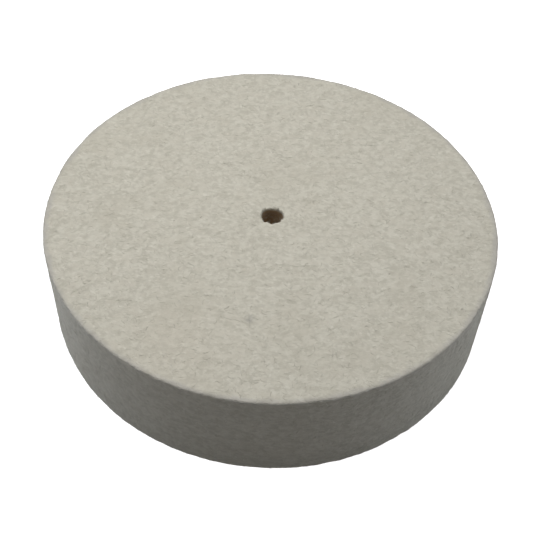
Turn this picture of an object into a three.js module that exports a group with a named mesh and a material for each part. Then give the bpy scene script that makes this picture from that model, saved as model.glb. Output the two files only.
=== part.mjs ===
// Felt polishing wheel: one solid disc of pressed wool felt with a plain hole through its middle.
// Units are millimetres. The origin is the wheel's centre and +Z runs along its axis, so the
// wheel lies flat with its two working faces pointing up and down.

import * as THREE from 'three';

// Driving dimensions
const WHEEL_DIAMETER = 150;
const WHEEL_THICKNESS = 0.24 * WHEEL_DIAMETER;
const BORE_DIAMETER = 0.05 * WHEEL_DIAMETER;
const RIM_ROUNDING = 0.5; // radius of the soft edge where each face meets the rim
const BORE_LIP_ROUNDING = 0.5; // radius of the soft edge where each face meets the bore

const FELT_COLOUR = new THREE.Color(0.6, 0.58, 0.5); // cream grey wool, as linear values

// Fineness of the round surfaces
const FACETS_ROUND_THE_WHEEL = 96;
const STEPS_PER_ROUNDING = 4;

// Section of the felt on one side of the axis, as radius and height. It runs up the rim, in
// across the top face, down the bore and out across the bottom face, back to where it began.
function feltSection() {
  const rimRadius = WHEEL_DIAMETER / 2;
  const boreRadius = BORE_DIAMETER / 2;
  const faceHeight = WHEEL_THICKNESS / 2;
  const rimArcRadius = rimRadius - RIM_ROUNDING;
  const rimArcHeight = faceHeight - RIM_ROUNDING;
  const lipArcRadius = boreRadius + BORE_LIP_ROUNDING;
  const lipArcHeight = faceHeight - BORE_LIP_ROUNDING;
  const quarter = Math.PI / 2;

  const outline = new THREE.Path();
  outline.moveTo(rimRadius, -rimArcHeight);
  outline.lineTo(rimRadius, rimArcHeight);
  outline.absarc(rimArcRadius, rimArcHeight, RIM_ROUNDING, 0, quarter);
  outline.lineTo(lipArcRadius, faceHeight);
  outline.absarc(lipArcRadius, lipArcHeight, BORE_LIP_ROUNDING, quarter, 2 * quarter);
  outline.lineTo(boreRadius, -lipArcHeight);
  outline.absarc(lipArcRadius, -lipArcHeight, BORE_LIP_ROUNDING, 2 * quarter, 3 * quarter);
  outline.lineTo(rimArcRadius, -faceHeight);
  outline.absarc(rimArcRadius, -rimArcHeight, RIM_ROUNDING, 3 * quarter, 4 * quarter);

  // A Path draws each arc with twice the number of steps that it is asked for.
  const points = outline.getPoints(STEPS_PER_ROUNDING / 2);
  points[points.length - 1].copy(points[0]);
  return points;
}

function feltWheel() {
  const geometry = new THREE.LatheGeometry(feltSection(), FACETS_ROUND_THE_WHEEL);
  geometry.rotateX(Math.PI / 2); // a lathe turns about Y, and the wheel's axis is Z
  const felt = new THREE.MeshStandardMaterial({
    color: FELT_COLOUR,
    roughness: 0.95,
    metalness: 0,
  });
  const wheel = new THREE.Mesh(geometry, felt);
  wheel.name = 'felt_wheel';
  return wheel;
}

const polishingWheel = new THREE.Group();
polishingWheel.add(feltWheel());

export default polishingWheel;
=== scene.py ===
"""A felt polishing wheel: one thick disc of cream-grey pressed wool felt with a pilot bore.

The felt is one closed skin with waves, lumps and tufts, worn edges and a ragged, singed bore. On it
lie loose wool fibres, and a short fuzz stands on its two rims and round the mouths of the bore.
Everything is in metres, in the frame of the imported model: +Z is the wheel's axis.
"""
import itertools
import math
from collections import namedtuple

import bmesh
import bpy
import numpy as np
from mathutils import Matrix, Vector


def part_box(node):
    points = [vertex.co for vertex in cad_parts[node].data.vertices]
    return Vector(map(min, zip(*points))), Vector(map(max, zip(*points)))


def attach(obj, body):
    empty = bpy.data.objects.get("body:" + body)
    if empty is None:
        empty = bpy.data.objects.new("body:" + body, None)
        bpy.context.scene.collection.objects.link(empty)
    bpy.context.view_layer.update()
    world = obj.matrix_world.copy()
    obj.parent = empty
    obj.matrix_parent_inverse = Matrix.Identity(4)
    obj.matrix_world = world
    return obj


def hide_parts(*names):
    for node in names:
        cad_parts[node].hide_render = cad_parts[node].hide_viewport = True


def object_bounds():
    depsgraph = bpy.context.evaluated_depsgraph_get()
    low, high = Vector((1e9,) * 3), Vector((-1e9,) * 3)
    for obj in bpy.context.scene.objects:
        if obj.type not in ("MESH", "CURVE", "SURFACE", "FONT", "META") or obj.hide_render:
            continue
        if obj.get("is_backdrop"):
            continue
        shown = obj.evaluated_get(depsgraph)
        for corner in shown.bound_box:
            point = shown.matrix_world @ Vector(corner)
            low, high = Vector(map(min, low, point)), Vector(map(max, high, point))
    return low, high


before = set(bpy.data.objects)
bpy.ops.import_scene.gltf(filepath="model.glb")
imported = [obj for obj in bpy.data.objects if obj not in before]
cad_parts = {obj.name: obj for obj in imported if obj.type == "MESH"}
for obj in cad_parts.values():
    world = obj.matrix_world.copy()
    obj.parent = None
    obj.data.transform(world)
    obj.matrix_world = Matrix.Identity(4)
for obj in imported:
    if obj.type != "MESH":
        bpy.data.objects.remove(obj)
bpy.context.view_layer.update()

NODE = "felt_wheel"
MM = 0.001


# ---------------------------------------------------------------- sizes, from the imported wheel

LOW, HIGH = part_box(NODE)
RADIUS = (HIGH.x - LOW.x) / 2
HALF = (HIGH.z - LOW.z) / 2
BORE = min(math.hypot(v.co.x, v.co.y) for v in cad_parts[NODE].data.vertices)
RIM_ROUNDING = 0.5 * MM
LIP_ROUNDING = 0.5 * MM

# Fineness of the felt's skin
EDGE = 0.82 * MM  # length of a triangle's side on the faces and the rim
FINE_EDGE = 0.26 * MM  # and over the rounded edges
ROW = EDGE * math.sin(math.radians(60))  # height of an even triangle of that side
BORE_POINTS = 96  # fewest points round a ring

# Relief of the felt: (height, size of one bump)
WAVES = (0.16 * MM, 34 * MM)
LUMPS = (0.085 * MM, 6.5 * MM)
DIMPLES = (0.068 * MM, 2.8 * MM)

# Tufts: short streaks that lie in a few directions, which take turns over the felt
TUFT_HEIGHT = 0.055 * MM
TUFT_CELLS = (2.4 * MM, 1.25 * MM, 1.1 * MM)  # long across, short up and down
TUFT_TURNS = (-30, 6, 42)  # degrees about the axis, the ways that the wool lies
TUFT_TILT = (0.35, 0.2)  # radians about X, and about Y for each next direction
TUFT_PATCH = 9 * MM  # size of a patch where one direction is strong
TUFT_EVERYWHERE = 0.65  # strength of each direction all over
TUFT_IN_PATCH = 0.5  # and how much a patch adds or takes away

# Wear of the rims
NIBBLE_REACH = 1.1 * MM  # how far in from a rim the wear goes
NIBBLE_SIZE = 2.3 * MM  # length of one nick
NIBBLE_TOP = 0.42 * MM
NIBBLE_ELSEWHERE = 0.08 * MM  # the lower rim and the far side are hardly worn
NIBBLE_LOSS = 0.2  # the rim loses more felt than it gains
NIBBLE_AZIMUTH = 275  # degrees; here the top rim is worn most
NIBBLE_SPREAD = 60

# Ragged mouths of the bore
LIP_REACH = 1.2 * MM
LIP_RAGGED = 0.40 * MM
LIP_SIZE = 1.15 * MM  # length of one shred

# Slack place of the lower rim
SLACK_AZIMUTH = 212  # degrees
SLACK_SPREAD = 30
SLACK_DEPTH = 0.60 * MM
SLACK_FADE = 8  # how steeply it fades from the wall inwards

# Burr at the bore: here its top mouth is pushed in
BURR_AZIMUTH = 85  # degrees
BURR_SPREAD = 50
BURR_DEPTH = 0.75 * MM
BURR_REACH = 2.0 * MM


# ---------------------------------------------------------------- random fields

def turned(points, angles):
    """The points turned about X, then Y, then Z, by angles in radians."""
    spin = np.array(Matrix.Rotation(angles[2], 3, "Z") @ Matrix.Rotation(angles[1], 3, "Y")
                    @ Matrix.Rotation(angles[0], 3, "X"))
    return points @ spin.T


def lattice_noise(points, seed, lattice=64):
    """Smooth random values from -1 to 1 at the points, changing over a distance of 1."""
    values = np.random.default_rng(seed).uniform(-1, 1, (lattice,) * 3)
    corner = np.floor(points).astype(int)
    share = points - corner
    share = share * share * (3 - 2 * share)
    total = np.zeros(len(points))
    for step in itertools.product((0, 1), repeat=3):
        weight = np.prod(np.where(step, share, 1 - share), axis=1)
        x, y, z = ((corner + step) % lattice).T
        total += weight * values[x, y, z]
    return total


def bumps(points, cell, seed):
    """Noise with round features about cell metres across."""
    tilt = np.random.default_rng(seed).uniform(0, math.pi, 3)
    return lattice_noise(turned(points, tilt) / cell, seed)


def tufts(points, streak_seed, patch_seed):
    """Noise drawn out sideways, as lying wool is, in a few directions that take turns."""
    total = np.zeros(len(points))
    for i, turn in enumerate(TUFT_TURNS):
        along = turned(points, (TUFT_TILT[0], TUFT_TILT[1] * i, math.radians(-turn)))
        streak = lattice_noise(along / np.array(TUFT_CELLS), streak_seed + i)
        patch = bumps(points, TUFT_PATCH, patch_seed + i)
        total += streak * (TUFT_EVERYWHERE + TUFT_IN_PATCH * patch)
    return total / len(TUFT_TURNS) ** 0.5


# ---------------------------------------------------------------- the felt's surface

def closeness(distance, reach):
    """1 at distance 0, falling smoothly to nearly 0 past reach."""
    return np.exp(-(distance / reach) ** 2)


def azimuths(points):
    """Degrees round the axis, from 0 at +X and below 360."""
    return np.degrees(np.arctan2(points[:, 1], points[:, 0])) % 360


def slack(points):
    """How far the wall has slumped in at its slack place, most at the lower rim."""
    round_share = closeness(azimuths(points) - SLACK_AZIMUTH, SLACK_SPREAD)
    depth_share = np.clip((HALF - points[:, 2]) / (2 * HALF), 0, 1)
    radius_share = np.clip(np.hypot(points[:, 0], points[:, 1]) / RADIUS, 0, 1) ** SLACK_FADE
    return SLACK_DEPTH * round_share * depth_share * radius_share


def burr(points):
    """How far one side of the bore's top mouth bulges in over the hole."""
    distance = np.hypot(np.hypot(points[:, 0], points[:, 1]) - BORE, points[:, 2] - HALF)
    round_share = closeness(azimuths(points) - BURR_AZIMUTH, BURR_SPREAD)
    return BURR_DEPTH * round_share * closeness(distance, BURR_REACH)


def relief(points):
    """How far the felt stands out of its nominal surface at these points."""
    radius = np.hypot(points[:, 0], points[:, 1])
    height = np.abs(points[:, 2])
    rim = closeness(np.hypot(radius - RADIUS, height - HALF), NIBBLE_REACH)
    lip = closeness(np.hypot(radius - BORE, height - HALF), LIP_REACH)
    total = WAVES[0] * bumps(points, WAVES[1], seed=1)
    total += LUMPS[0] * bumps(points, LUMPS[1], seed=2)
    total += DIMPLES[0] * bumps(points, DIMPLES[1], seed=3)
    total += TUFT_HEIGHT * tufts(points, streak_seed=20, patch_seed=30)
    worn = closeness(azimuths(points) - NIBBLE_AZIMUTH, NIBBLE_SPREAD) * (points[:, 2] > 0)
    nibble = NIBBLE_ELSEWHERE + (NIBBLE_TOP - NIBBLE_ELSEWHERE) * worn
    total += nibble * rim * (bumps(points, NIBBLE_SIZE, seed=4) - NIBBLE_LOSS)
    total += LIP_RAGGED * lip * bumps(points, LIP_SIZE, seed=5)
    return total


def shaped(points, normals):
    """Nominal surface points moved to where the felt's real surface is."""
    moved = points + normals * relief(points)[:, None]
    inward = points * np.array((-1, -1, 0))
    inward /= np.maximum(np.hypot(points[:, 0], points[:, 1]), BORE)[:, None]
    return moved + inward * (slack(points) + burr(points))[:, None]


def straight(start, end, spacing):
    """Section points from start up to but not with end, with the normal on their right."""
    start, end = np.array(start), np.array(end)
    count = max(round(np.linalg.norm(end - start) / spacing), 1)
    way = (end - start) / np.linalg.norm(end - start)
    normal = np.array((way[1], -way[0]))
    return [(start + (end - start) * i / count, normal) for i in range(count)]


def rounded(centre, radius, first, last):
    """Section points of an arc between two angles in degrees, without the last."""
    count = max(round(radius * math.radians(abs(last - first)) / FINE_EDGE), 2)
    found = []
    for i in range(count):
        angle = math.radians(first + (last - first) * i / count)
        normal = np.array((math.cos(angle), math.sin(angle)))
        found.append((np.array(centre) + radius * normal, normal))
    return found


def section():
    """The felt's section as (radius and height, outward normal): up the rim, in over the top,
    down the bore and out under the bottom."""
    rim_in, rim_up = RADIUS - RIM_ROUNDING, HALF - RIM_ROUNDING
    lip_in, lip_up = BORE + LIP_ROUNDING, HALF - LIP_ROUNDING
    return (
        straight((RADIUS, -rim_up), (RADIUS, rim_up), ROW)
        + rounded((rim_in, rim_up), RIM_ROUNDING, 0, 90)
        + straight((rim_in, HALF), (lip_in, HALF), ROW)
        + rounded((lip_in, lip_up), LIP_ROUNDING, 90, 180)
        + straight((BORE, lip_up), (BORE, -lip_up), ROW)
        + rounded((lip_in, -lip_up), LIP_ROUNDING, 180, 270)
        + straight((lip_in, -HALF), (rim_in, -HALF), ROW)
        + rounded((rim_in, -rim_up), RIM_ROUNDING, 270, 360)
    )


def ring(radius, height, normal, turn):
    """Points and normals round the axis at one place of the section, turned by a share of the
    step from one point to the next."""
    count = max(round(2 * math.pi * radius / EDGE), BORE_POINTS)
    angle = (np.arange(count) + turn) * 2 * math.pi / count
    cos, sin = np.cos(angle), np.sin(angle)
    points = np.stack([radius * cos, radius * sin, np.full(count, height)], axis=1)
    normals = np.stack([normal[0] * cos, normal[0] * sin, np.full(count, normal[1])], axis=1)
    return points, normals


def zipped(start, count, turn, other_start, other_count, other_turn):
    """Triangles between two neighbouring rings. Each ring is given by the number of its first
    point, its count of points and its turn."""
    faces = []
    i = j = 0
    while i < count or j < other_count:
        here = (i + 1 + turn) / count if i < count else math.inf
        there = (j + 1 + other_turn) / other_count if j < other_count else math.inf
        a, b = start + i % count, other_start + j % other_count
        if here <= there:
            faces.append((a, start + (i + 1) % count, b))
            i += 1
        else:
            faces.append((a, other_start + (j + 1) % other_count, b))
            j += 1
    return faces


def felt_skin():
    """The felt's whole surface as one closed mesh of nearly even triangles."""
    rings = []
    turns = []
    for i, (place, normal) in enumerate(section()):
        turns.append(0.5 * (i % 2))  # every other ring is half a step round
        rings.append(ring(place[0], place[1], normal, turns[i]))
    counts = [len(points) for points, normals in rings]
    starts = np.cumsum([0] + counts)
    faces = []
    for i in range(len(rings)):
        j = (i + 1) % len(rings)
        faces += zipped(starts[i], counts[i], turns[i], starts[j], counts[j], turns[j])
    points = np.concatenate([points for points, normals in rings])
    normals = np.concatenate([normals for points, normals in rings])
    return shaped(points, normals), faces


# ---------------------------------------------------------------- loose fibres

# How many fibres there are, how long, how far off the felt and how thick: (least, most)
Wool = namedtuple("Wool", "count length proud thickness")
FACE_FIBRES = Wool(3600, (1.2 * MM, 3.4 * MM), (0.005 * MM, 0.04 * MM), (0.10 * MM, 0.22 * MM))
WALL_FIBRES = Wool(3600, (1.2 * MM, 3.2 * MM), (0.01 * MM, 0.05 * MM), (0.10 * MM, 0.22 * MM))
RIM_FUZZ = Wool(1500, (0.7 * MM, 2.4 * MM), (0.03 * MM, 0.32 * MM), (0.06 * MM, 0.12 * MM))
LIP_FUZZ = Wool(130, (0.3 * MM, 1.1 * MM), (0.05 * MM, 0.45 * MM), (0.08 * MM, 0.16 * MM))

# Shape of a fibre
FIBRE_POINTS = 4
FIBRE_SIDES = 3
FLATNESS = 0.4  # a fibre pressed into felt is wider than it is high
THINNEST = 0.35  # its thickness would fall to this share at the ends of a whole half wave
TAPER_SPAN = (0.12, 0.88)  # and this stretch of the half wave is used

# Lying fibres
FIBRE_SWING = 60  # degrees, how much their directions differ
FIBRE_BOW = 0.22  # sideways bow as a share of the length
FIBRE_DIVE = 1.9  # above 1, so that both ends go into the felt
FACE_LEAN = 22  # degrees, how much the fibres of a face turn from its middle to its side
CLEAR_OF_BORE = 1.2 * MM
CLEAR_OF_RIM = 1.0 * MM
CLEAR_OF_FACES = 1.2 * MM

# Fuzz
FUZZ_PAST_EDGE = 0.2  # radians, how far past the rounding it is rooted
FUZZ_SWING = 0.25  # radians over the edge
FUZZ_CURL = 1.5  # above 1, so that a hair rises more towards its end
FUZZ_ROOT = 0.12 * MM  # depth of its root in the felt


def on_face(side):
    """A flat skin: maps two lengths to points and normals on the top (1) or bottom (-1) face."""
    def place(across, up):
        points = np.stack([across, up, np.full(across.shape, side * HALF)], axis=-1)
        return points, np.broadcast_to(np.array((0.0, 0.0, side)), points.shape)
    return place


def on_wall(across, up):
    """The wall's skin: maps a length round the rim and a height to points and normals."""
    angle = across / RADIUS
    normals = np.stack([np.cos(angle), np.sin(angle), np.zeros(angle.shape)], axis=-1)
    return normals * RADIUS + up[..., None] * np.array((0.0, 0.0, 1.0)), normals


def on_edge(corner_radius, rounding, side):
    """A rounded edge's skin: maps a length round the edge and an angle over it, 0 at the wall
    and a quarter turn at the face, to points and normals. rounding is below 0 at the bore."""
    def place(across, over):
        angle = across / abs(corner_radius)
        out = np.cos(over) * np.sign(rounding)
        normals = np.stack([out * np.cos(angle), out * np.sin(angle), side * np.sin(over)], axis=-1)
        centre_radius = corner_radius - rounding
        centres = np.stack([
            centre_radius * np.cos(angle),
            centre_radius * np.sin(angle),
            np.full(angle.shape, side * (HALF - abs(rounding))),
        ], axis=-1)
        return centres + abs(rounding) * normals, normals
    return place


def settled(place, across, up, lift):
    """Fibre points on a skin: laid on the felt's relief, then raised by lift."""
    points, normals = place(across, up)
    flat_points, flat_normals = points.reshape(-1, 3), normals.reshape(-1, 3)
    laid = shaped(flat_points, flat_normals).reshape(points.shape)
    return laid + normals * lift[..., None], normals


def lying(random, place, across, up, lean, wool):
    """Fibres that come out of the felt, lie over it in a bow and go back into it."""
    way = np.radians(random.normal(lean, FIBRE_SWING, wool.count))[:, None]
    reach = random.uniform(*wool.length, wool.count)[:, None]
    bow = random.normal(0, FIBRE_BOW, wool.count)[:, None] * reach
    share = np.linspace(-0.5, 0.5, FIBRE_POINTS)[None, :]
    sideways = bow * (1 - (2 * share) ** 2)
    along = across[:, None] + reach * share * np.cos(way) - sideways * np.sin(way)
    rise = up[:, None] + reach * share * np.sin(way) + sideways * np.cos(way)
    height = random.uniform(*wool.proud, wool.count)[:, None]
    lift = height * (1 - FIBRE_DIVE * (2 * share) ** 2)
    return settled(place, along, rise, lift)


def edge_fuzz(random, place, circumference, wool):
    """Short fibres rooted over a rounded edge, whose free ends stand off it."""
    share = np.linspace(0, 1, FIBRE_POINTS)[None, :]
    start = random.uniform(0, circumference, wool.count)[:, None]
    over = random.uniform(-FUZZ_PAST_EDGE, math.pi / 2 + FUZZ_PAST_EDGE, wool.count)[:, None]
    reach = (random.uniform(*wool.length, wool.count) * random.choice((-1, 1), wool.count))[:, None]
    swing = random.normal(0, FUZZ_SWING, wool.count)[:, None]
    height = random.uniform(*wool.proud, wool.count)[:, None]
    lift = height * share**FUZZ_CURL - FUZZ_ROOT * (1 - share)
    return settled(place, start + reach * share, over + swing * share, lift)


def tubes(paths, normals, thickness):
    """One closed tube along each path, three-sided, thick in the middle and fine at its ends."""
    count, points = paths.shape[:2]
    ways = np.gradient(paths, axis=1)
    ways /= np.linalg.norm(ways, axis=2, keepdims=True)
    sides = np.cross(normals, ways)
    sides /= np.linalg.norm(sides, axis=2, keepdims=True)
    lifts = np.cross(ways, sides)
    taper = THINNEST + (1 - THINNEST) * np.sin(np.linspace(*TAPER_SPAN, points) * math.pi)
    radius = (thickness[:, None] / 2 * taper[None, :])[..., None]
    corners = []
    for i in range(FIBRE_SIDES):
        angle = 2 * math.pi * i / FIBRE_SIDES + math.pi / 2
        corners.append(paths + radius * (math.cos(angle) * sides + FLATNESS * math.sin(angle) * lifts))
    vertices = np.stack(corners, axis=2).reshape(-1, 3)
    one = []
    for k, i in itertools.product(range(points - 1), range(FIBRE_SIDES)):
        a = k * FIBRE_SIDES + i
        b = k * FIBRE_SIDES + (i + 1) % FIBRE_SIDES
        one.append((a, b, b + FIBRE_SIDES))
        one.append((a, b + FIBRE_SIDES, a + FIBRE_SIDES))
    last = (points - 1) * FIBRE_SIDES
    one.append(tuple(reversed(range(FIBRE_SIDES))))
    one.append(tuple(range(last, last + FIBRE_SIDES)))
    offsets = np.arange(count)[:, None, None] * points * FIBRE_SIDES
    faces = (np.array(one)[None] + offsets).reshape(-1, 3)
    return vertices, faces


def face_fibres(side, seed):
    """Fibres lying on one working face."""
    random = np.random.default_rng(seed)
    inner, outer = BORE + CLEAR_OF_BORE, RADIUS - CLEAR_OF_RIM
    radius = np.sqrt(random.uniform(inner**2, outer**2, FACE_FIBRES.count))
    angle = random.uniform(0, 2 * math.pi, FACE_FIBRES.count)
    across, up = radius * np.cos(angle), radius * np.sin(angle)
    lean = FACE_LEAN * across / RADIUS
    paths, normals = lying(random, on_face(side), across, up, lean, FACE_FIBRES)
    return tubes(paths, normals, random.uniform(*FACE_FIBRES.thickness, FACE_FIBRES.count))


def wall_fibres(seed):
    """Fibres lying on the rim's wall."""
    random = np.random.default_rng(seed)
    across = random.uniform(0, 2 * math.pi * RADIUS, WALL_FIBRES.count)
    up = random.uniform(CLEAR_OF_FACES - HALF, HALF - CLEAR_OF_FACES, WALL_FIBRES.count)
    paths, normals = lying(random, on_wall, across, up, 0, WALL_FIBRES)
    return tubes(paths, normals, random.uniform(*WALL_FIBRES.thickness, WALL_FIBRES.count))


def rim_fuzz(side, seed):
    """The soft fuzz along the top (1) or bottom (-1) rim."""
    random = np.random.default_rng(seed)
    place = on_edge(RADIUS, RIM_ROUNDING, side)
    paths, normals = edge_fuzz(random, place, 2 * math.pi * RADIUS, RIM_FUZZ)
    return tubes(paths, normals, random.uniform(*RIM_FUZZ.thickness, RIM_FUZZ.count))


def lip_fuzz(side, seed):
    """Torn fibres round one mouth of the bore."""
    random = np.random.default_rng(seed)
    place = on_edge(BORE, -LIP_ROUNDING, side)
    paths, normals = edge_fuzz(random, place, 2 * math.pi * BORE, LIP_FUZZ)
    return tubes(paths, normals, random.uniform(*LIP_FUZZ.thickness, LIP_FUZZ.count))


def joined(*meshes):
    """Several (vertices, faces) as one."""
    vertices = []
    faces = []
    for some_vertices, some_faces in meshes:
        faces.append(np.array(some_faces) + sum(len(v) for v in vertices))
        vertices.append(some_vertices)
    return np.concatenate(vertices), np.concatenate(faces)


# ---------------------------------------------------------------- materials

FELT_LIGHT = (0.648, 0.630, 0.543, 1)
FELT_DARK = (0.540, 0.522, 0.442, 1)
FELT_WARM = (0.622, 0.597, 0.510, 1)  # pinker patches of wool
FELT_SHADE = (0.540, 0.514, 0.426, 1)  # dirtier patches
TUFT_LIGHT = (0.745, 0.726, 0.642, 1)  # small clean tufts
SPECK = (0.27, 0.24, 0.19, 1)
SMUDGE = (0.33, 0.325, 0.30, 1)
STAIN = (0.655, 0.602, 0.500, 1)
SINGED = (0.375, 0.265, 0.158, 1)
RIM_PAINTED_SHADE = (0.470, 0.458, 0.427, 1)  # painted shade: grey over the rims, for the shade in their nicks
FIBRE_LIGHT = (0.655, 0.637, 0.556, 1)
FIBRE_DARK = (0.505, 0.487, 0.412, 1)
FUZZ_LIGHT = (0.620, 0.606, 0.560, 1)
FUZZ_DARK = (0.520, 0.505, 0.455, 1)

# Streaks of wool: their size along, across and up, and the way they lie in degrees
Streaks = namedtuple("Streaks", "cells detail turn twist")
MAIN_STREAKS = Streaks((2.1 * MM, 1.30 * MM, 1.1 * MM), detail=2.0, turn=4, twist=0.6)
RISING_STREAKS = Streaks((2.0 * MM, 1.20 * MM, 1.0 * MM), detail=2.0, turn=45, twist=0.6)
FALLING_STREAKS = Streaks((1.9 * MM, 1.25 * MM, 1.0 * MM), detail=2.0, turn=-36, twist=0.6)
FINE_STREAKS = Streaks((0.80 * MM, 0.60 * MM, 0.60 * MM), detail=1.0, turn=12, twist=0.8)
FINE_SHARE = 0.35  # strength of the fine streaks beside the others
STREAK_PATCH = 12 * MM  # size of a patch where rising or falling streaks take over
PATCH_BORDER = (0.42, 0.58)  # its noise, from falling streaks only to rising ones only
MOTTLE_CELLS = (3.0 * MM, 2.6 * MM, 1.9 * MM)
MOTTLE_SHARE = 0.44
CONTRAST = (0.36, 0.64)  # streaks and mottle together, from the dark wool to the light

# Patches of another colour, which show where their noise is above begins and have their whole
# strength where it is above full
Patches = namedtuple("Patches", "colour cells detail turn begins full strength")
PATCHES = (
    Patches(FELT_WARM, (4.5 * MM, 3 * MM, 3 * MM), 2.0, 15, begins=0.46, full=0.68, strength=0.6),
    Patches(TUFT_LIGHT, (1.5 * MM, 1.1 * MM, 1.0 * MM), 1.0, -12, begins=0.58, full=0.74, strength=0.45),
    Patches(FELT_SHADE, (21 * MM,) * 3, 3.0, 0, begins=0.50, full=0.72, strength=0.30),
    Patches(SPECK, (2.0 * MM, 1.0 * MM, 1.0 * MM), 1.0, 40, begins=0.76, full=0.86, strength=0.7),
)

# Marks on the top face
SMUDGE_PLACE = (-5 * MM, -44.5 * MM, HALF)
SMUDGE_REACH = 2.4 * MM
SMUDGE_GRAIN = 1.6 * MM
STAIN_PLACE = (-26 * MM, -57 * MM, HALF)
STAIN_REACH = 26 * MM
STAIN_STRENGTH = 0.20

# Singed bore: the brown fades out over these radii, and over these heights towards its mouths
SINGE_FRAY = 1.1 * MM  # the most that a shred adds to the radius
SINGE_GRAIN = 1.0 * MM
SINGE_RADII = (BORE + 0.45 * MM, BORE + 1.0 * MM)
SINGE_HEIGHTS = (HALF - 1.8 * MM, HALF - 0.5 * MM)

# Painted shade over the rims: the grey grows over these radii and these heights. The noise adds a random
# length to the radius, so that the inner edge of the band is ragged.
RIM_SHADE_NOISE = ((1.3 * MM, 1.4 * MM), (8 * MM, 3.0 * MM))  # (size of one patch of noise, most that it adds)
RIM_RADII = (RADIUS - 0.2 * MM, RADIUS + 2.1 * MM)
RIM_HEIGHTS = (HALF - 0.9 * MM, HALF - 0.2 * MM)
RIM_STRENGTH = 0.65

# Places of the colour sockets on a Mix node, whose names are shared with its other sockets
MIX_FIRST = 6
MIX_SECOND = 7
MIX_RESULT = 2

NOISE_TILT = (0.3, 0.2)  # radians about X and Y, so that no noise is cut along its own grid


class Nodes:
    """Short calls for making one material's node tree."""

    def __init__(self, name):
        self.material = bpy.data.materials.new(name)
        self.material.use_nodes = True
        self.tree = self.material.node_tree
        self.shader = self.tree.nodes["Principled BSDF"]
        self.place = self.tree.nodes.new("ShaderNodeTexCoord").outputs["Object"]

    def put(self, socket, value):
        """Sets an input, or links it when value is another node's output."""
        if isinstance(value, bpy.types.NodeSocket):
            self.tree.links.new(value, socket)
        else:
            socket.default_value = value

    def set(self, name, value):
        """Sets or links one of the shader's own inputs."""
        self.put(self.shader.inputs[name], value)

    def calculate(self, operation, first, second=0.0):
        """The result of a Math node."""
        node = self.tree.nodes.new("ShaderNodeMath")
        node.operation = operation
        self.put(node.inputs[0], first)
        self.put(node.inputs[1], second)
        return node.outputs[0]

    def add(self, first, second):
        return self.calculate("ADD", first, second)

    def times(self, first, second):
        return self.calculate("MULTIPLY", first, second)

    def mapped(self, value, low, high, at_low=0.0, at_high=1.0):
        """A smooth step from at_low, where value is low or less, to at_high."""
        node = self.tree.nodes.new("ShaderNodeMapRange")
        node.interpolation_type = "SMOOTHSTEP"
        node.inputs["From Min"].default_value = low
        node.inputs["From Max"].default_value = high
        node.inputs["To Min"].default_value = at_low
        node.inputs["To Max"].default_value = at_high
        self.put(node.inputs["Value"], value)
        return node.outputs["Result"]

    def mixed(self, share, first, second):
        """The first colour where share is 0, going over to the second where it is 1."""
        node = self.tree.nodes.new("ShaderNodeMix")
        node.data_type = "RGBA"
        self.put(node.inputs["Factor"], share)
        self.put(node.inputs[MIX_FIRST], first)
        self.put(node.inputs[MIX_SECOND], second)
        return node.outputs[MIX_RESULT]

    def noise(self, cells, detail=2.0, turn=0.0, twist=0.0):
        """Noise whose features are about cells metres long along each axis, turned about Z."""
        mapping = self.tree.nodes.new("ShaderNodeMapping")
        mapping.vector_type = "TEXTURE"
        mapping.inputs["Rotation"].default_value = (*NOISE_TILT, math.radians(turn))
        mapping.inputs["Scale"].default_value = cells
        self.put(mapping.inputs["Vector"], self.place)
        node = self.tree.nodes.new("ShaderNodeTexNoise")
        node.inputs["Scale"].default_value = 1.0
        node.inputs["Detail"].default_value = detail
        node.inputs["Distortion"].default_value = twist
        self.put(node.inputs["Vector"], mapping.outputs[0])
        return node.outputs["Fac"]

    def grain(self, size, detail=2.0):
        """Noise with round features of one size."""
        return self.noise((size,) * 3, detail)

    def near(self, centre, reach):
        """1 at centre, falling to 0 at reach."""
        node = self.tree.nodes.new("ShaderNodeVectorMath")
        node.operation = "DISTANCE"
        self.put(node.inputs[0], self.place)
        node.inputs[1].default_value = centre
        return self.mapped(node.outputs["Value"], 0.0, reach, at_low=1.0, at_high=0.0)

    def from_axis(self):
        """The distance from the wheel's axis, and the height, as sockets."""
        apart = self.tree.nodes.new("ShaderNodeSeparateXYZ")
        self.put(apart.inputs[0], self.place)
        across = self.calculate("POWER", apart.outputs["X"], 2.0)
        along = self.calculate("POWER", apart.outputs["Y"], 2.0)
        return self.calculate("SQRT", self.add(across, along)), apart.outputs["Z"]

    def bump(self, height, strength, distance):
        """Makes the surface look raised where height is great."""
        node = self.tree.nodes.new("ShaderNodeBump")
        node.inputs["Strength"].default_value = strength
        node.inputs["Distance"].default_value = distance
        self.put(node.inputs["Height"], height)
        self.set("Normal", node.outputs[0])


def lying_wool(nodes):
    """Streaks of wool lying in a few directions, from 0 to 1."""
    main = nodes.noise(*MAIN_STREAKS)
    rising = nodes.noise(*RISING_STREAKS)
    falling = nodes.noise(*FALLING_STREAKS)
    fine = nodes.noise(*FINE_STREAKS)
    patches = nodes.mapped(nodes.grain(STREAK_PATCH), *PATCH_BORDER)
    wool = nodes.add(main, nodes.times(rising, patches))
    wool = nodes.add(wool, nodes.times(falling, nodes.calculate("SUBTRACT", 1.0, patches)))
    wool = nodes.add(wool, nodes.times(fine, FINE_SHARE))
    return nodes.times(wool, 1 / (2 + FINE_SHARE))


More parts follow.
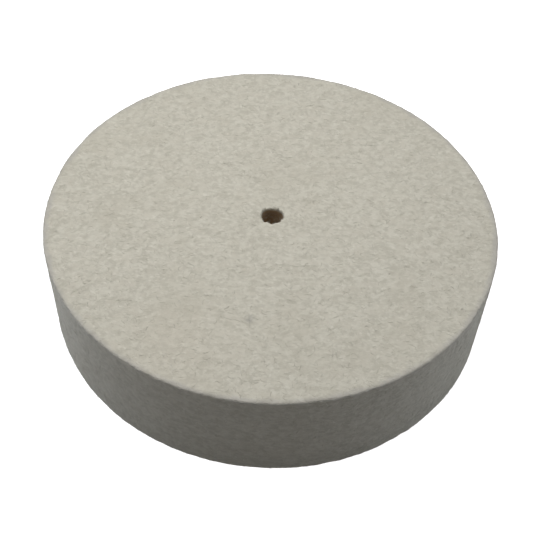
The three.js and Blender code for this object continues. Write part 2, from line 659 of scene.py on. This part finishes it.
def felt_colour(nodes, wool):
    """Light and dark streaks with patches of other wool and dark specks."""
    mottle = nodes.calculate("SUBTRACT", nodes.noise(MOTTLE_CELLS, detail=1.0, turn=20), 0.5)
    tone = nodes.mapped(nodes.add(wool, nodes.times(mottle, MOTTLE_SHARE)), *CONTRAST)
    colour = nodes.mixed(tone, FELT_DARK, FELT_LIGHT)
    for kind in PATCHES:
        noise = nodes.noise(kind.cells, kind.detail, kind.turn)
        share = nodes.mapped(noise, kind.begins, kind.full, at_high=kind.strength)
        colour = nodes.mixed(share, colour, kind.colour)
    return colour


def marked(nodes, colour):
    """The colour with the grey smudge and the faint warm stain of the top face."""
    ragged = nodes.mapped(nodes.grain(SMUDGE_GRAIN), 0.35, 0.65, at_low=0.25, at_high=0.85)
    smudge = nodes.times(nodes.near(SMUDGE_PLACE, SMUDGE_REACH), ragged)
    colour = nodes.mixed(smudge, colour, SMUDGE)
    stain = nodes.times(nodes.near(STAIN_PLACE, STAIN_REACH), STAIN_STRENGTH)
    return nodes.mixed(stain, colour, STAIN)


def singed(nodes, colour, radius, level):
    """The colour with brown, singed wool inside the bore."""
    frayed = nodes.add(radius, nodes.times(nodes.grain(SINGE_GRAIN), SINGE_FRAY))
    inside = nodes.mapped(frayed, *SINGE_RADII, at_low=1.0, at_high=0.0)
    depth = nodes.mapped(level, *SINGE_HEIGHTS, at_low=1.0, at_high=0.0)
    return nodes.mixed(nodes.times(inside, depth), colour, SINGED)


def rim_painted_shade(nodes, colour, radius, level):
    """The colour with painted shade: a ragged grey band over each rim, for the shade in its nicks."""
    fringe = radius
    for size, depth in RIM_SHADE_NOISE:
        fringe = nodes.add(fringe, nodes.times(nodes.grain(size, detail=1.0), depth))
    outer = nodes.mapped(fringe, *RIM_RADII)
    corner = nodes.times(outer, nodes.mapped(level, *RIM_HEIGHTS))
    return nodes.mixed(nodes.times(corner, RIM_STRENGTH), colour, RIM_PAINTED_SHADE)


def felt_material():
    """Pressed wool: lying streaks, patches, specks, two marks, a singed bore and painted shade over the
    rims.
    """
    nodes = Nodes("wool_felt")
    wool = lying_wool(nodes)
    colour = marked(nodes, felt_colour(nodes, wool))
    radius, height = nodes.from_axis()
    level = nodes.calculate("ABSOLUTE", height)
    colour = singed(nodes, colour, radius, level)
    # painted shade: a grey band over both rims
    colour = rim_painted_shade(nodes, colour, radius, level)
    nodes.set("Base Color", colour)
    nodes.set("Roughness", nodes.mapped(wool, 0.3, 0.7, at_low=1.0, at_high=0.82))
    nodes.set("Specular IOR Level", 0.18)
    nodes.set("Sheen Weight", 0.10)
    nodes.set("Sheen Roughness", 0.45)
    nodes.bump(wool, strength=0.55, distance=0.45 * MM)
    return nodes.material


def fibre_material(name, dark, light):
    """Single wool fibres, in two tones that vary from place to place."""
    nodes = Nodes(name)
    tone = nodes.mapped(nodes.grain(1.4 * MM, detail=1.0), 0.38, 0.62)
    nodes.set("Base Color", nodes.mixed(tone, dark, light))
    nodes.set("Roughness", nodes.mapped(tone, 0.0, 1.0, at_low=0.95, at_high=0.75))
    nodes.set("Specular IOR Level", 0.2)
    nodes.set("Sheen Weight", 0.10)
    nodes.bump(nodes.grain(0.25 * MM, detail=1.0), strength=0.3, distance=0.05 * MM)
    return nodes.material


# ---------------------------------------------------------------- pieces

def piece(name, vertices, faces, material):
    """A mesh object that rides on the wheel's body."""
    mesh = bpy.data.meshes.new(name)
    mesh.from_pydata(vertices, [], faces)
    mesh.validate()
    mesh.shade_smooth()
    mesh.materials.append(material)
    made = bpy.data.objects.new(name, mesh)
    bpy.context.scene.collection.objects.link(made)
    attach(made, "root")
    return made


def felt_wheel():
    """The felt itself and the loose wool on it."""
    felt = felt_material()
    fibre = fibre_material("wool_fibre", FIBRE_DARK, FIBRE_LIGHT)
    fuzz = fibre_material("wool_fuzz", FUZZ_DARK, FUZZ_LIGHT)
    body = piece("pressed_felt", *felt_skin(), felt)
    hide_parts(NODE)
    piece("top_face_fibres", *face_fibres(1, seed=31), fibre)
    piece("bottom_face_fibres", *face_fibres(-1, seed=32), fibre)
    piece("rim_wall_fibres", *wall_fibres(seed=33), fibre)
    piece("rim_edge_fuzz", *joined(rim_fuzz(1, seed=34), rim_fuzz(-1, seed=35)), fuzz)
    piece("bore_mouth_fuzz", *joined(lip_fuzz(1, seed=36), lip_fuzz(-1, seed=37)), fibre)


# ---------------------------------------------------------------- studio

CAMERA_DISTANCE = 4.715 * RADIUS
CAMERA_ELEVATION = 47.8  # degrees above the horizon
CAMERA_YAW, CAMERA_PITCH, CAMERA_ROLL = -0.35, -1.32, -3.23  # degrees
CAMERA_NEAREST = 0.01  # nothing nearer than this shows
LENS = 66.9
PICTURE_WIDTH = 36  # millimetres, as the lens is

AMBIENT_COLOUR = (1.0, 0.976, 0.972, 1)
AMBIENT_STRENGTH = 0.145

STUDIO_RADIUS = 3.0
STUDIO_CORNERS = 96
STUDIO_STEPS = 24
MAT_GAP = 0.3 * MM  # the dark mat begins this far out past the wheel
MAT_REACH = 11 * MM  # and ends this far out
PALE_GREYS = (0.93, 0.96)
DARK_GREYS = (0.08, 0.11)


def camera():
    """Looks down at the wheel from the front, slightly tilted."""
    data = bpy.data.cameras.new("camera")
    data.lens = LENS
    data.sensor_width = PICTURE_WIDTH
    data.clip_start = CAMERA_NEAREST
    made = bpy.data.objects.new("camera", data)
    bpy.context.scene.collection.objects.link(made)
    tilt = math.radians(CAMERA_ELEVATION)
    back = Vector((0, -math.cos(tilt), math.sin(tilt)))
    # A camera looks down its own -Z, so turning it up from straight down gives the elevation.
    aim = Matrix.Rotation(math.pi / 2 - tilt, 4, "X")
    aim @= Matrix.Rotation(math.radians(CAMERA_YAW), 4, "Y")
    aim @= Matrix.Rotation(math.radians(CAMERA_PITCH), 4, "X")
    aim @= Matrix.Rotation(math.radians(-CAMERA_ROLL), 4, "Z")
    made.matrix_world = Matrix.Translation(back * CAMERA_DISTANCE) @ aim
    bpy.context.scene.camera = made


def soft_panel(name, place, size, power, colour):
    """A square softbox that faces the wheel."""
    data = bpy.data.lights.new(name, "AREA")
    data.shape = "SQUARE"
    data.size = size
    data.energy = power
    data.color = colour
    made = bpy.data.objects.new(name, data)
    made.visible_camera = False
    bpy.context.scene.collection.objects.link(made)
    made.location = place
    made.rotation_euler = (-Vector(place)).to_track_quat("-Z", "Y").to_euler()


def lights():
    """Two cool panels at the sides, a warm one above and a weak one below."""
    soft_panel("left_panel", (-1.000, 0.482, 0.300), size=1.2, power=6.35, colour=(0.830, 0.893, 1.0))
    soft_panel("right_panel", (0.900, 0.277, 0.300), size=0.6, power=2.22, colour=(0.830, 0.900, 1.0))
    soft_panel("top_panel", (-0.045, 0.048, 0.340), size=0.3, power=0.768, colour=(1.0, 0.968, 0.929))
    soft_panel("under_panel", (0.0, 0.0, -0.300), size=0.10, power=0.30, colour=(1.0, 0.985, 0.965))


def surroundings():
    """Even, faint light from all round."""
    world = bpy.data.worlds.new("studio")
    world.use_nodes = True
    background = world.node_tree.nodes["Background"]
    background.inputs["Color"].default_value = AMBIENT_COLOUR
    background.inputs["Strength"].default_value = AMBIENT_STRENGTH
    bpy.context.scene.world = world


def turned_sheet(name, profile, material):
    """A piece of the studio, turned round Z from (radius, height) points. The wheel can reflect it
    faintly, but it lights nothing and shades nothing: the panels and the surroundings do that."""
    angles = [2 * math.pi * i / STUDIO_CORNERS for i in range(STUDIO_CORNERS)]
    points = [(radius * math.cos(a), radius * math.sin(a), z) for radius, z in profile for a in angles]
    faces = []
    for i, k in itertools.product(range(len(profile) - 1), range(STUDIO_CORNERS)):
        here = i * STUDIO_CORNERS
        after = (k + 1) % STUDIO_CORNERS
        faces.append((here + k, here + STUDIO_CORNERS + k, here + STUDIO_CORNERS + after, here + after))
    mesh = bpy.data.meshes.new(name)
    mesh.from_pydata(points, [], faces)
    mesh.materials.append(material)
    work = bmesh.new()
    work.from_mesh(mesh)
    bmesh.ops.remove_doubles(work, verts=work.verts, dist=MM)  # one point where it meets the axis
    work.to_mesh(mesh)
    work.free()
    made = bpy.data.objects.new(name, mesh)
    bpy.context.scene.collection.objects.link(made)
    made.visible_diffuse = False
    made.visible_shadow = False
    made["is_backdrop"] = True
    return made


def card(name, greys, grain_size):
    """The nodes of a grey card, slightly uneven between two greys."""
    nodes = Nodes(name)
    tone = nodes.mapped(nodes.grain(grain_size), 0.3, 0.7)
    darker, lighter = [(grey, grey, grey, 1) for grey in greys]
    nodes.set("Base Color", nodes.mixed(tone, darker, lighter))
    return nodes


def pale_card():
    """White card, lit enough to show as plain white, and clear from its back."""
    nodes = card("pale_card", PALE_GREYS, grain_size=0.3)
    nodes.set("Roughness", 0.9)
    nodes.set("Emission Color", (1, 1, 1, 1))
    nodes.set("Emission Strength", 1.0)
    back = nodes.tree.nodes.new("ShaderNodeNewGeometry").outputs["Backfacing"]
    clear = nodes.tree.nodes.new("ShaderNodeBsdfTransparent").outputs[0]
    either = nodes.tree.nodes.new("ShaderNodeMixShader")
    nodes.put(either.inputs[0], back)
    nodes.put(either.inputs[1], nodes.shader.outputs[0])
    nodes.put(either.inputs[2], clear)
    nodes.put(nodes.tree.nodes["Material Output"].inputs["Surface"], either.outputs[0])
    return nodes.material


def dark_card():
    """Nearly black card."""
    return card("dark_card", DARK_GREYS, grain_size=0.01).material


def studio(ground):
    """The pale floor and the pale backdrop all round, and a dark ring on the floor that the camera
    doesn't see, which darkens the foot of the wheel's wall."""
    white = pale_card()
    turned_sheet("studio_floor", [(0, ground), (STUDIO_RADIUS, ground)], white)
    rises = [math.radians(-90 + 180 * i / STUDIO_STEPS) for i in range(STUDIO_STEPS + 1)]
    arc = [(STUDIO_RADIUS * math.cos(a), STUDIO_RADIUS * math.sin(a)) for a in rises]
    turned_sheet("studio_backdrop", arc, white)
    mat = turned_sheet("dark_mat", [(RADIUS + MAT_GAP, ground), (RADIUS + MAT_REACH, ground)], dark_card())
    mat.visible_camera = False
    mat.visible_diffuse = True


camera()
lights()
surroundings()
felt_wheel()
studio(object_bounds()[0][2])
bpy.context.scene.view_settings.view_transform = "Standard"
